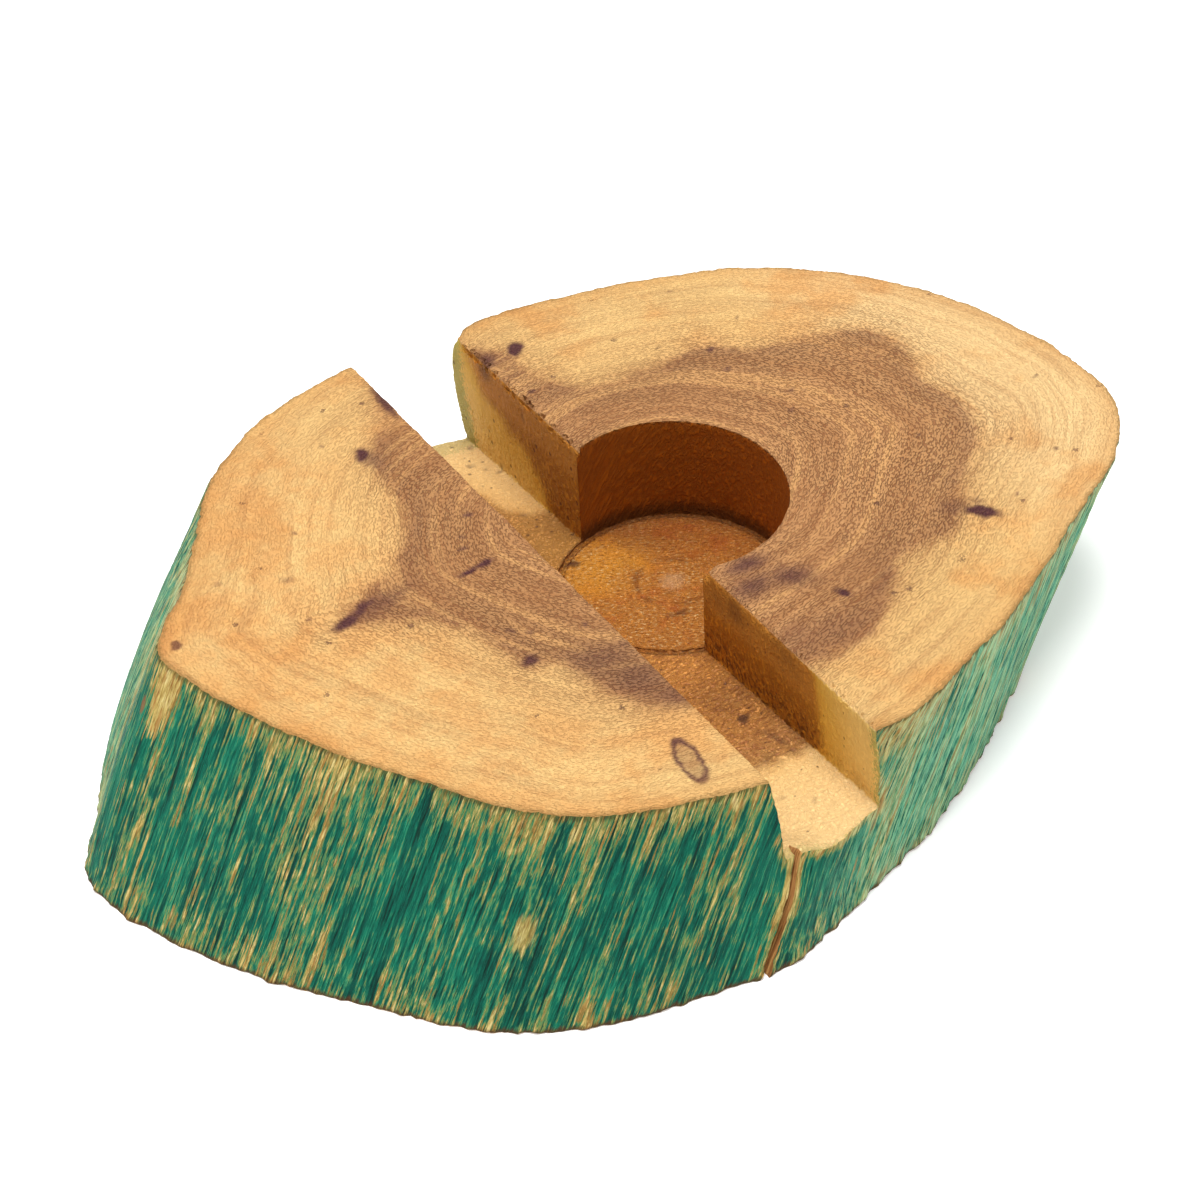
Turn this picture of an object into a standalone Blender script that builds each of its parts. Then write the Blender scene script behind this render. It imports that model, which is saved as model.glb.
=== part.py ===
"""Incense burner: one slice sawn slantwise from a branch, with a slot and a round recess cut in its top.

It is a single piece of wood. The origin is on the flat base, under the centre of the round recess.
+Z is up, +Y runs along the slot to its back mouth, and +X points from the slot to the broad lobe.
The branch's grain leans over towards +X, so the block is an oblique prism with a level base.
Everything is in metres.
"""

from math import cos, exp, pi, sin

import bmesh
import bpy
from mathutils import Vector

MM = 0.001

# The block
HEIGHT = 29.3 * MM  # base to sawn top, on the origin's vertical
TOP_RISE_X = 0.020  # climb of the sawn top for each metre along +X
TOP_RISE_Y = 0.055  # climb of the sawn top for each metre along +Y
LEAN_X = 0.686  # run of the grain along +X for each metre up
LEAN_Y = 0.199  # run of the grain along +Y for each metre up
SIDE_LEVELS = 6  # bands of faces up the side
STEPS_PER_SPAN = 5  # curve steps between two points of the section

# The slot, a straight channel open at both ends
FLOOR_HEIGHT = 13.2 * MM
SLOT_NEAR_X = -5.7 * MM  # the wall next to the recess
SLOT_FAR_X = -22.8 * MM

# The recess, bored by a flat-bottomed cutter whose axis is the origin's vertical
CUTTER_RADIUS = 17.5 * MM
RECESS_SINK = 0.3 * MM  # recess floor below slot floor
RIM_GROOVE_WIDTH = 0.9 * MM  # groove left by the cutter's rim
RIM_GROOVE_SINK = 0.9 * MM  # its bottom below slot floor
BOSS_RADIUS = 2.0 * MM  # low dome left at the cutter's centre
BOSS_HEIGHT = 0.6 * MM
CUTTER_SEGMENTS = 80
BOSS_RINGS = 3

# The check, a natural drying crack in the front of the block that follows the grain
CHECK_FOOT = (-29.8 * MM, -64.6 * MM)  # where it meets the base
CHECK_WIDTH = 1.5 * MM
CHECK_DEPTH = 2.6 * MM
CHECK_PROUD = 2.0 * MM  # how far its cutter stands outside the bark

CLEAR = 10 * MM  # how far a cutter runs past the block
MERGE_DISTANCE = 0.01 * MM
LEVEL = 0.9  # a face whose normal rises by this much or more counts as level

# The branch's section on the base plane, anticlockwise from the broad lobe, in millimetres
SECTION = (
    (49, -17), (47.5, -5.5), (43, 9.5), (33, 24.5), (20, 35.5), (4, 42.3), (-11, 46), (-22, 47.7),
    (-28, 46.6), (-38, 47.6), (-48, 48.5), (-62.5, 44.5), (-75, 36), (-82.5, 25.5), (-88, 17),
    (-94, 11), (-97.3, 5.5), (-96, -1.5), (-92, -12), (-85.5, -25), (-78, -37), (-71, -47.3),
    (-63.5, -54), (-53, -58.8), (-41, -62.2), (-31, -64.6), (-24, -64.8), (-15, -62), (-1, -57.3),
    (11, -52), (27, -43), (39.5, -36), (47, -27),
)

# Where the side swells out past the straight grain, in millimetres: a place on the section, the
# reach round it, the swell at the base and the swell at half height. It is nothing at the top.
SWELLS = (
    (-84, 27, 14, 1.9, 2.4),  # the flank behind the pointed end
    (-97, 6, 8, -1.4, -0.3),  # the pointed end, rounded over at its foot
    (-72, -46, 13, -1.4, -0.6),  # the front, left of the slot
    (-48, -60, 12, 1.0, 0.4),
    (-20, -63, 10, 0.3, -1.4),  # under the slot's front mouth
    (15, -50, 22, 0.8, 0.4),
    (44, -31, 15, -2.1, -1.7),  # the broad lobe's end
    (-23, 48, 14, 2.0, 2.6),  # under the slot's back mouth
)


def clear_scene():
    """Empties the scene, so that the script can be run again in an open file."""
    for old in list(bpy.data.objects):
        bpy.data.objects.remove(old)


def section_curve():
    """The branch's section as a closed smooth curve through its points (Catmull-Rom), in metres."""
    points = [Vector(p) * MM for p in SECTION]
    curve = []
    for i, here in enumerate(points):
        before = points[i - 1]
        after = points[(i + 1) % len(points)]
        beyond = points[(i + 2) % len(points)]
        for step in range(STEPS_PER_SPAN):
            u = step / STEPS_PER_SPAN
            curve.append(
                0.5 * (
                    2 * here
                    + (after - before) * u
                    + (2 * before - 5 * here + 4 * after - beyond) * u**2
                    + (3 * here - 3 * after + beyond - before) * u**3
                )
            )
    return curve


def along_grain(foot, height):
    """The point at this height on the line of grain that starts from foot on the base plane."""
    return Vector((foot[0] + LEAN_X * height, foot[1] + LEAN_Y * height, height))


def top_height(foot):
    """The height at which the grain line from foot meets the sawn top."""
    start = HEIGHT + TOP_RISE_X * foot[0] + TOP_RISE_Y * foot[1]
    return start / (1 - TOP_RISE_X * LEAN_X - TOP_RISE_Y * LEAN_Y)


def swell_at(foot, share):
    """How far the side stands out from the straight grain, at a share of the way up to the top."""
    middle = sum((Vector(p) for p in SECTION), Vector((0, 0))) / len(SECTION) * MM
    amount = 0
    for x, y, reach, at_base, at_middle in SWELLS:
        nearness = exp(-((foot - Vector((x, y)) * MM).length / (reach * MM)) ** 2)
        rise = at_base * (1 - share) * (1 - 2 * share) + at_middle * 4 * share * (1 - share)
        amount += rise * MM * nearness
    return (foot - middle).normalized().to_3d() * amount


def side_point(foot, share):
    """The side's point on the grain line from foot, at a share of the way up to the sawn top."""
    return along_grain(foot, top_height(foot) * share) + swell_at(foot, share)


def shade_walls_smooth(mesh):
    """Smooth shading for the curved walls of a round shape, and flat shading for its level faces."""
    mesh.normal_update()
    for face in mesh.faces:
        face.smooth = abs(face.normal.z) < LEVEL


def object_from(mesh, name):
    """Puts a finished bmesh in the scene as a named object with its faces pointing out."""
    bmesh.ops.recalc_face_normals(mesh, faces=mesh.faces)
    data = bpy.data.meshes.new(name)
    mesh.to_mesh(data)
    mesh.free()
    made = bpy.data.objects.new(name, data)
    bpy.context.scene.collection.objects.link(made)
    return made


def wood():
    """The raw wood of the whole block, oiled to a low sheen."""
    material = bpy.data.materials.new("raw_wood")
    material.use_nodes = True
    surface = material.node_tree.nodes["Principled BSDF"]
    surface.inputs["Base Color"].default_value = (0.60, 0.36, 0.15, 1)
    surface.inputs["Roughness"].default_value = 0.6
    surface.inputs["Metallic"].default_value = 0.0
    return material


def branch_slice():
    """The solid block before cutting: rings of points along the grain, capped at the base and the top."""
    mesh = bmesh.new()
    feet = section_curve()
    rings = []
    for level in range(SIDE_LEVELS + 1):
        share = level / SIDE_LEVELS
        rings.append([mesh.verts.new(side_point(foot, share)) for foot in feet])
    for lower, upper in zip(rings, rings[1:]):
        for i in range(len(feet)):
            mesh.faces.new((lower[i - 1], lower[i], upper[i], upper[i - 1]))
    mesh.faces.new(list(reversed(rings[0])))
    mesh.faces.new(rings[-1])
    shade_walls_smooth(mesh)
    block = object_from(mesh, "wood_block")
    block.data.materials.append(wood())
    return block


def slot_cutter():
    """A long box over the slot's floor, between its two walls."""
    low = Vector((SLOT_FAR_X, min(y for _, y in SECTION) * MM - CLEAR, FLOOR_HEIGHT))
    high = Vector((SLOT_NEAR_X, max(y for _, y in SECTION) * MM + 2 * CLEAR, HEIGHT + CLEAR))
    mesh = bmesh.new()
    bmesh.ops.create_cube(mesh, size=1)
    bmesh.ops.scale(mesh, vec=high - low, verts=mesh.verts)
    bmesh.ops.translate(mesh, vec=(high + low) / 2, verts=mesh.verts)
    return object_from(mesh, "slot_cutter")


def recess_profile():
    """The cutter's outline from its centre to above the block, as (radius, height) pairs."""
    floor = FLOOR_HEIGHT - RECESS_SINK
    groove = FLOOR_HEIGHT - RIM_GROOVE_SINK
    profile = []
    for ring in range(BOSS_RINGS):
        angle = ring / BOSS_RINGS * pi / 2
        profile.append((BOSS_RADIUS * sin(angle), floor + BOSS_HEIGHT * cos(angle)))
    profile += [
        (BOSS_RADIUS, floor),
        (CUTTER_RADIUS - RIM_GROOVE_WIDTH, floor),
        (CUTTER_RADIUS - RIM_GROOVE_WIDTH, groove),
        (CUTTER_RADIUS, groove),
        (CUTTER_RADIUS, HEIGHT + CLEAR),
        (0, HEIGHT + CLEAR),
    ]
    return profile


def recess_cutter():
    """The turned solid of the recess: flat floor, rim groove and centre boss."""
    mesh = bmesh.new()
    verts = [mesh.verts.new((radius, 0, height)) for radius, height in recess_profile()]
    edges = [mesh.edges.new(pair) for pair in zip(verts, verts[1:])]
    bmesh.ops.spin(
        mesh, geom=verts + edges, cent=(0, 0, 0), axis=(0, 0, 1), angle=2 * pi, steps=CUTTER_SEGMENTS
    )
    bmesh.ops.remove_doubles(mesh, verts=mesh.verts, dist=MERGE_DISTANCE)
    shade_walls_smooth(mesh)
    return object_from(mesh, "recess_cutter")


def check_cutter():
    """A wedge that follows the grain from below the base to above the slot's floor."""
    x, y = CHECK_FOOT
    outline = (
        (x - CHECK_WIDTH, y - CHECK_PROUD),
        (x + CHECK_WIDTH, y - CHECK_PROUD),
        (x + CHECK_WIDTH / 2, y),
        (x, y + CHECK_DEPTH),
        (x - CHECK_WIDTH / 2, y),
    )
    mesh = bmesh.new()
    lower = [mesh.verts.new(along_grain(p, -CLEAR)) for p in outline]
    upper = [mesh.verts.new(along_grain(p, HEIGHT)) for p in outline]
    for i in range(len(outline)):
        mesh.faces.new((lower[i - 1], lower[i], upper[i], upper[i - 1]))
    mesh.faces.new(list(reversed(lower)))
    mesh.faces.new(upper)
    return object_from(mesh, "check_cutter")


def cut(block, cutter):
    """Takes the cutter's solid out of the block, and leaves the cutter as a hidden guide."""
    boolean = block.modifiers.new(cutter.name, "BOOLEAN")
    boolean.operation = "DIFFERENCE"
    boolean.solver = "EXACT"
    boolean.object = cutter
    cutter.hide_render = True
    cutter.display_type = "WIRE"


clear_scene()
wood_block = branch_slice()
for make_cutter in (slot_cutter, recess_cutter, check_cutter):
    cut(wood_block, make_cutter())
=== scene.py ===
"""Looks of the incense burner: one slice of branch wood, with a slot and a round recess in its top.

The frame's wood_block is copied, its faces are divided finely, and the copy is worn, fluted and
roughened as wood is. It stands for the frame's node. Lengths are metres, except that the figure of
the wood, its marks and the material nodes work in millimetres.
"""

from math import cos, radians, sin
from types import SimpleNamespace

import bmesh
import bpy
import numpy as np
from mathutils import Euler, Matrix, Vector, noise
from mathutils.bvhtree import BVHTree
from mathutils.geometry import delaunay_2d_cdt
from mathutils.kdtree import KDTree


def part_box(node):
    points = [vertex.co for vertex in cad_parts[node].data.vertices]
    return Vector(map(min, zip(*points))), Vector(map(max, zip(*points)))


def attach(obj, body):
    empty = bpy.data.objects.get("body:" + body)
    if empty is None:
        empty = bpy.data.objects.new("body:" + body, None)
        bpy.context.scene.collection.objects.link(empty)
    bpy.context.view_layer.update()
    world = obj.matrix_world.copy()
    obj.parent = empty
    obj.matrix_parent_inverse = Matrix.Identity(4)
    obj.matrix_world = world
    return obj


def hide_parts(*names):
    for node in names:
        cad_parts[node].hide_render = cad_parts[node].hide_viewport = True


MM = 0.001
NODE = "wood_block"

# The branch's grain leans over, so the figure of the wood is drawn on a level plane at TOP_HEIGHT
# and carried down along the grain. These three are the shape of the frame's own solid.
LEAN = np.array((0.686, 0.199))
TOP_HEIGHT = 29.3 * MM
TOP_RISE = np.array((0.020, 0.055))

# Where the drying check meets the base
CHECK_FOOT = np.array((-29.8, -63.2)) * MM

# Faces are sorted into these regions, which are also the piece's material slots.
REGIONS = TOP, CUT, SIDE, BASE, CHECK = range(5)
SQUARE = 0.9995  # a normal with this much of an axis in it lies along that axis
ON_PLANE = 0.05 * MM  # how near a point of a flat wall is to the wall's plane

# The fine mesh
EDGE_LENGTHS = {TOP: 0.95 * MM, CUT: 0.60 * MM, SIDE: 0.72 * MM, BASE: 2.4 * MM, CHECK: 0.6 * MM}
CREASE_LENGTH = 0.45 * MM  # length of the edges along creases
FINE_BAND = 1.0  # width of the finer mesh beside a border, in the region's own edge lengths
MARK_MARGIN = 0.9  # width of the finer mesh round a mark, in millimetres
SHARP = radians(25)  # the frame's edges that turn more than this are creases
CREASE_FACING = 0.94  # so are points whose faces agree less than this with their mean direction
PATCH_SPREAD = 0.82  # how far the faces of one patch agree with its first face
INSIDE_WITH_HOLES = 4  # the kind of output asked of delaunay_2d_cdt
WELD = 0.004 * MM
SMOOTH_BELOW = radians(42)  # edges that turn more than this are shaded sharp

# The debarked side's ridges and furrows, in millimetres: height, size across and along the grain,
# and an offset that gives each its own pattern
FLUTES = ((0.26, 7.0, 110, 0), (0.22, 2.9, 40, 31), (0.30, 1.35, 14, 67))
TORN_HEIGHT, TORN_SIZE = 0.16, 0.75  # roughness of every crease
NOTCH_HEIGHT, NOTCH_SIZE, NOTCH_TOP = 0.45, 2.4, 1.8  # notches round the base, up to this height
SPREAD_ROUNDS = 7  # how many edges inward the sawn faces are drawn along with the side
SPREAD_FADE = 0.97

# Relief of the bored floor, in millimetres
BOSS_RING = 5.6  # radius of the shallow ring round the centre boss
RING_DEPTH, RING_WIDTH = 0.30, 0.7
BOSS_RISE, BOSS_WIDTH = 0.25, 1.6
DISH_DEPTH = 0.10  # inside the ring
GROOVE_FILL = 0.62  # share of the rim groove that is full of fibres

# A ledge that the cutter left on the slot's floor beside its near wall, in front of the recess
LEDGE_RISE, LEDGE_WIDTH = 0.35, 1.7

# Wear of the edges
WEAR_ROUNDS = 2
CHIP_DROP, CHIP_DEPTH = 0.9, 0.5  # a chip in the slot's upper edge, downwards and into the wall
CHIP_BAND = 0.6  # how near the wall a point has to be to be chipped
WELL_CHIPPED_FROM = 15  # millimetres along the slot, towards its back
LIP_RAGGED = 0.45  # of the drying check
LIP_CLOSED = 0.4
LIP_REACH = (-4.0, -1.2)
CHECK_MOUTH_REACH = 7.5  # the check's upper end is worn into a small hollow
CHECK_MOUTH_WEAR = np.array((0.9, 2.4, 0.0))

# Outline of the dark heartwood, in millimetres on the figure's plane
HEARTWOOD = (
    (-4, 43), (-2, 33), (1.5, 28), (7, 26.7), (14.7, 25.6), (22.5, 26.7), (29, 21), (39, 19),
    (46, 15.6), (49, 11), (47.4, 6.7), (46, 0), (47.4, -6.7), (45.8, -13.3), (41.3, -17.8),
    (35.8, -22), (33.6, -25.6), (29, -29), (18, -30), (14.7, -34.4), (7, -40), (2.4, -41),
    (-10, -40), (-20, -37.5), (-26, -34), (-29, -28), (-30, -21), (-35, -19), (-36, -14), (-38, -8),
    (-42, -3), (-49, 1), (-53, 2.5), (-48, 5), (-41, 8), (-36, 13), (-33, 20), (-33, 27),
    (-31, 33), (-25, 42), (-22, 50), (-12, 50),
)
PITH = np.array((2.0, 4.0))


def signed_distance(points, outline):
    """Distance of each point from a closed outline, above zero inside it."""
    outline = np.asarray(outline, float)
    nearest = np.full(len(points), np.inf)
    inside = np.zeros(len(points), bool)
    for a, b in zip(outline, np.roll(outline, -1, 0)):
        run = b - a
        share = np.clip(((points - a) @ run) / (run @ run), 0, 1)
        nearest = np.minimum(nearest, np.linalg.norm(points - a - share[:, None] * run, axis=1))
        crosses = (a[1] > points[:, 1]) != (b[1] > points[:, 1])
        if a[1] != b[1]:
            at = a[0] + (points[:, 1] - a[1]) * run[0] / run[1]
            inside ^= crosses & (points[:, 0] < at)
    return np.where(inside, nearest, -nearest)


def smooth_step(x, low, high):
    t = np.clip((x - low) / (high - low), 0, 1)
    return t * t * (3 - 2 * t)


def unit(vectors):
    """Each row at a length of 1."""
    return vectors / np.maximum(np.linalg.norm(vectors, axis=1, keepdims=True), 1e-12)


def noise_at(points, detail=0):
    """Perlin noise from -1 to 1 at each row of points."""
    if not detail:
        return np.array([noise.noise(p) for p in points.tolist()])
    return np.array([noise.fractal(p, 1.0, 2.0, detail) for p in points.tolist()])


def level_noise(x, y, size_x, size_y, layer, detail=0):
    """Noise that is the same at every height. Each layer number gives another pattern."""
    return noise_at(np.column_stack([x / size_x, y / size_y, x * 0 + layer]), detail)


class Measured:
    """What the frame's solid says about itself: the slot's walls and floor, and the recess."""

    def __init__(self, mesh):
        level = [f for f in mesh.faces if f.normal.z > SQUARE]
        self.floor = max(f.calc_center_median().z for f in level)
        walls = [f for f in mesh.faces if abs(f.normal.x) > SQUARE and f.calc_area() > (3 * MM) ** 2]
        self.near_x = max(f.calc_center_median().x for f in walls)
        self.far_x = min(f.calc_center_median().x for f in walls)
        facing = [f for f in mesh.faces if faces_axis(f)]
        self.radius = min(max(v.co.xy.length for v in f.verts) for f in facing)


def faces_axis(face):
    """True for an upright face that looks straight at the recess's axis."""
    middle = face.calc_center_median().xy
    return abs(face.normal.z) < 0.01 and face.normal.xy.dot(middle) < -0.97 * middle.length


def region_of(face, found):
    """Which region of the wood a face of the frame's solid belongs to."""
    centre = face.calc_center_median()
    normal = face.normal
    if normal.z < -0.99:
        return BASE
    if normal.z > 0.99 and centre.z > found.floor + 5 * MM:
        return TOP
    in_recess = centre.xy.length < found.radius + 0.2 * MM and centre.z > found.floor - 2 * MM
    from_wall = min(abs(centre.x - found.near_x), abs(centre.x - found.far_x))
    on_wall = from_wall < ON_PLANE and abs(normal.x) > 0.99
    if normal.z > 0.99 or in_recess or on_wall:
        return CUT
    foot = np.array(centre.xy) - LEAN * centre.z
    if np.linalg.norm(foot - CHECK_FOOT) < 4 * MM and abs(normal.x) > 0.6:
        return CHECK
    return SIDE


def frame_copy(node):
    """The frame's solid as a welded bmesh with its regions and creases marked."""
    mesh = bmesh.new()
    mesh.from_mesh(node.data)
    bmesh.ops.remove_doubles(mesh, verts=mesh.verts, dist=WELD)
    bmesh.ops.dissolve_limit(mesh, angle_limit=radians(0.1), verts=mesh.verts, edges=mesh.edges)
    bmesh.ops.triangulate(mesh, faces=mesh.faces)
    mesh.normal_update()
    found = Measured(mesh)
    for face in mesh.faces:
        face.material_index = region_of(face, found)
    for edge in mesh.edges:
        one, other = edge.link_faces
        edge.seam = (
            one.material_index != other.material_index or edge.calc_face_angle(0) > SHARP
        )
    return mesh, found


# Knots, worm marks and stains: x, y, length, width, turn in degrees, darkness, blur. In millimetres
# on the figure's plane, and carried down along the grain like the rest of the figure.
MARKS = (
    (-52.4, 2.3, 5.0, 2.0, 12, 0.8, 0.5), (-49.2, 3.7, 5.0, 1.8, 25, 0.75, 0.6),
    (-46.0, 3.2, 9.0, 3.0, 12, 0.42, 0.9), (-24.6, 43.0, 9.0, 1.6, 88, 0.7, 0.6),
    (-33.4, 33.9, 3.2, 2.2, 70, 0.9, 0.5), (-32.9, 32.3, 4.6, 2.4, 95, 0.5, 0.8),
    (-33.0, 1.9, 3.2, 1.1, 5, 0.85, 0.5), (-30.1, 2.1, 2.8, 1.3, 10, 0.95, 0.5),
    (-27.0, 12.8, 1.6, 1.0, 0, 0.65, 0.5), (-30.1, 8.9, 1.2, 1.0, 0, 0.35, 0.6),
    (-31.3, 6.7, 1.5, 0.9, 20, 0.55, 0.5), (-34.2, -12.2, 1.7, 0.9, 110, 0.5, 0.6),
    (-32.0, -13.9, 1.2, 1.0, 0, 0.5, 0.5), (-24.8, -16.9, 0.8, 0.8, 0, 0.6, 0.5),
    (-34.9, -18.9, 2.8, 1.9, 15, 0.75, 0.7), (-26.5, -24.5, 9.0, 6.0, -20, 0.42, 0.9),
    (-24.2, -30.0, 8.0, 6.5, -70, 0.44, 0.8), (-22.5, -35.5, 6.0, 4.5, -40, 0.38, 0.9),
    (-27.6, -22.2, 3.0, 2.0, 20, 0.35, 0.8), (-22.6, -23.4, 2.6, 2.0, 0, 0.4, 0.8),
    (-55.4, 15.2, 2.0, 1.1, 140, 0.3, 0.7), (-56.4, 6.1, 1.0, 0.7, 20, 0.5, 0.5),
    (-50.0, 23.7, 0.8, 0.7, 0, 0.5, 0.5), (-37.6, 39.2, 0.9, 0.7, 0, 0.5, 0.5),
    (-74.2, 11.7, 2.1, 1.4, 60, 0.95, 0.3), (-63.9, 20.0, 1.0, 0.8, 0, 0.3, 0.6),
    (-1.3, 43.4, 3.6, 2.5, 50, 0.85, 0.35), (-6.6, 43.2, 3.4, 2.6, 60, 0.6, 0.8),
    (-4.6, 32.6, 1.3, 1.1, 0, 0.6, 0.5), (24.0, 25.6, 1.4, 1.1, 20, 0.7, 0.5),
    (23.3, 20.0, 1.2, 1.0, 0, 0.5, 0.5), (17.4, 30.6, 1.3, 0.8, 30, 0.35, 0.6),
    (28.6, 10.0, 1.3, 0.7, 0, 0.5, 0.6), (30.3, 8.8, 0.7, 0.6, 0, 0.4, 0.5),
    (25.8, 5.9, 1.2, 0.9, 0, 0.5, 0.6), (31.9, 30.3, 0.9, 0.6, 30, 0.4, 0.5),
    (26.6, 42.2, 1.0, 0.7, 0, 0.5, 0.5), (35.3, -29.2, 5.4, 2.3, -48, 0.85, 0.45),
    (33.0, -26.6, 5.0, 3.2, -30, 0.35, 0.9), (36.2, -27.0, 2.0, 1.4, 30, 0.4, 0.8),
    (53.0, -24.0, 1.1, 0.7, 20, 0.6, 0.5), (61.6, -8.6, 1.3, 0.8, 0, 0.6, 0.5),
    (42.0, -29.0, 1.0, 0.6, 20, 0.6, 0.5), (8.6, -32.0, 2.6, 1.3, -60, 0.8, 0.5),
    (0.6, -19.4, 6.0, 3.0, 0, 0.68, 0.8), (-1.0, -23.7, 6.5, 3.8, 5, 0.62, 0.9),
    (4.6, -25.0, 6.5, 4.2, -35, 0.62, 0.9), (3.0, -37.0, 9.0, 6.0, 0, 0.22, 0.9),
    (-1.5, -36.0, 6.0, 6.0, 0, 0.25, 0.9), (14.0, -33.5, 6.0, 1.6, 20, 0.22, 0.9),
)
# The same, for the floor of the slot and the recess
FLOOR_MARKS = (
    (1.6, 15.7, 2.3, 1.4, -30, 0.8, 0.5), (7.7, -3.7, 3.4, 1.2, -12, 0.6, 0.6),
    (9.2, 1.4, 1.6, 0.8, 20, 0.3, 0.7), (1.1, -29.2, 2.2, 1.3, 40, 0.85, 0.4),
    (0.2, -25.5, 3.6, 2.0, 60, 0.4, 0.8), (2.2, -35.0, 5.0, 0.9, -75, 0.5, 0.7),
    (-1.2, -38.2, 4.0, 1.0, 20, 0.35, 0.8), (2.6, -38.9, 1.6, 0.8, -20, 0.5, 0.6),
    (1.7, 31.0, 1.4, 1.0, 0, 0.4, 0.6), (-3.0, 12.5, 1.0, 0.8, 0, 0.3, 0.6),
    (-4.2, -46.0, 0.7, 0.5, 0, 0.4, 0.5), (-1.0, -49.0, 0.8, 0.5, 30, 0.35, 0.5),
    (1.0, -24.0, 8.0, 9.0, 0, 0.33, 0.9), (4.5, 51.6, 1.1, 0.8, 30, 0.6, 0.5),
    (1.8, 47.0, 1.3, 0.7, -40, 0.65, 0.5), (4.8, 43.1, 1.2, 0.8, 10, 0.6, 0.5),
    (6.5, 48.4, 0.9, 0.7, 0, 0.6, 0.5), (1.8, 30.9, 1.2, 0.8, 60, 0.55, 0.6),
    (5.6, 53.6, 0.9, 0.6, 0, 0.5, 0.5), (3.2, 45.4, 0.7, 0.5, 0, 0.5, 0.5),
)
MARK_WARP, MARK_WARP_SIZE = 0.45, 1.3  # how much and how finely a mark's outline is bent
DARKEST = 0.95

# A knot cut across: its centre and half sizes, turn in degrees. Its dark rim encloses lighter wood.
RIM_KNOT = (-27.0, -47.2, 1.55, 4.2, -7)
RIM_DARKNESS, RIM_KNOT_DARKNESS = 0.86, 0.34

RING_SPAN = 46  # millimetres of growth rings from the bark to the pith
RING_WOBBLE, RING_WOBBLE_SIZE = 0.9, 18


def ellipse(flat, x, y, half_x, half_y, turn):
    """Distance of points from a mark's centre, which is 1 on the mark's outline."""
    c, s = cos(radians(turn)), sin(radians(turn))
    away_x, away_y = (flat - (x, y)).T
    return np.hypot((away_x * c + away_y * s) / half_x, (away_y * c - away_x * s) / half_y)


def mark_gap(flat):
    """Roughly how far points are from the nearest mark, in millimetres."""
    nearest = np.full(len(flat), np.inf)
    for x, y, length, width, turn, _, blur in MARKS:
        half = min(length, width) / 2
        gap = (ellipse(flat, x, y, length / 2, width / 2, turn) - 1) * half
        nearest = np.minimum(nearest, gap)
    return np.minimum(nearest, (ellipse(flat, *RIM_KNOT) - 1) * RIM_KNOT[2])


def grain_place(points):
    """Where points come to lie when they are carried along the grain to the figure's plane."""
    return (points[:, :2] - LEAN * (points[:, 2:] - TOP_HEIGHT)) / MM


def grow_patches(mesh):
    """Sorts the faces into patches: one region, no crease inside, and all facing much the same way."""
    patch_of = {}
    patches = []
    for seed in sorted(mesh.faces, key=lambda face: -face.calc_area()):
        if seed in patch_of:
            continue
        members = []
        front = [seed]
        patch_of[seed] = len(patches)
        while front:
            face = front.pop()
            members.append(face)
            for edge in face.edges:
                for other in edge.link_faces:
                    if edge.seam or other in patch_of:
                        continue
                    if other.normal.dot(seed.normal) > PATCH_SPREAD:
                        patch_of[other] = patch_of[seed]
                        front.append(other)
        patches.append(members)
    return patches, patch_of


def cut_borders(mesh, patch_of):
    """Points along every border between patches: the points, and each border edge's chain of them."""
    points = []
    corner = {}
    chains = {}
    for edge in mesh.edges:
        one, other = edge.link_faces
        if patch_of[one] == patch_of[other]:
            continue
        for vert in edge.verts:
            if vert not in corner:
                corner[vert] = len(points)
                points.append(vert.co.copy())
        length = CREASE_LENGTH if edge.seam else EDGE_LENGTHS[one.material_index]
        steps = max(1, round(edge.calc_length() / length))
        start, end = edge.verts
        chain = [corner[start]]
        for step in range(1, steps):
            chain.append(len(points))
            points.append(start.co.lerp(end.co, step / steps))
        chains[edge] = chain + [corner[end]]
    return points, chains


def grid(low, high, spacing):
    """Points of a triangular grid over a rectangle."""
    step = spacing * 0.866
    row_count = int((high[1] - low[1]) / step) + 2
    column_count = int((high[0] - low[0]) / spacing) + 2
    rows, columns = np.mgrid[0:row_count, 0:column_count]
    x = low[0] + (columns + 0.5 * (rows % 2)) * spacing
    y = low[1] + rows * step
    return np.column_stack([x.ravel(), y.ravel()])


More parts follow.
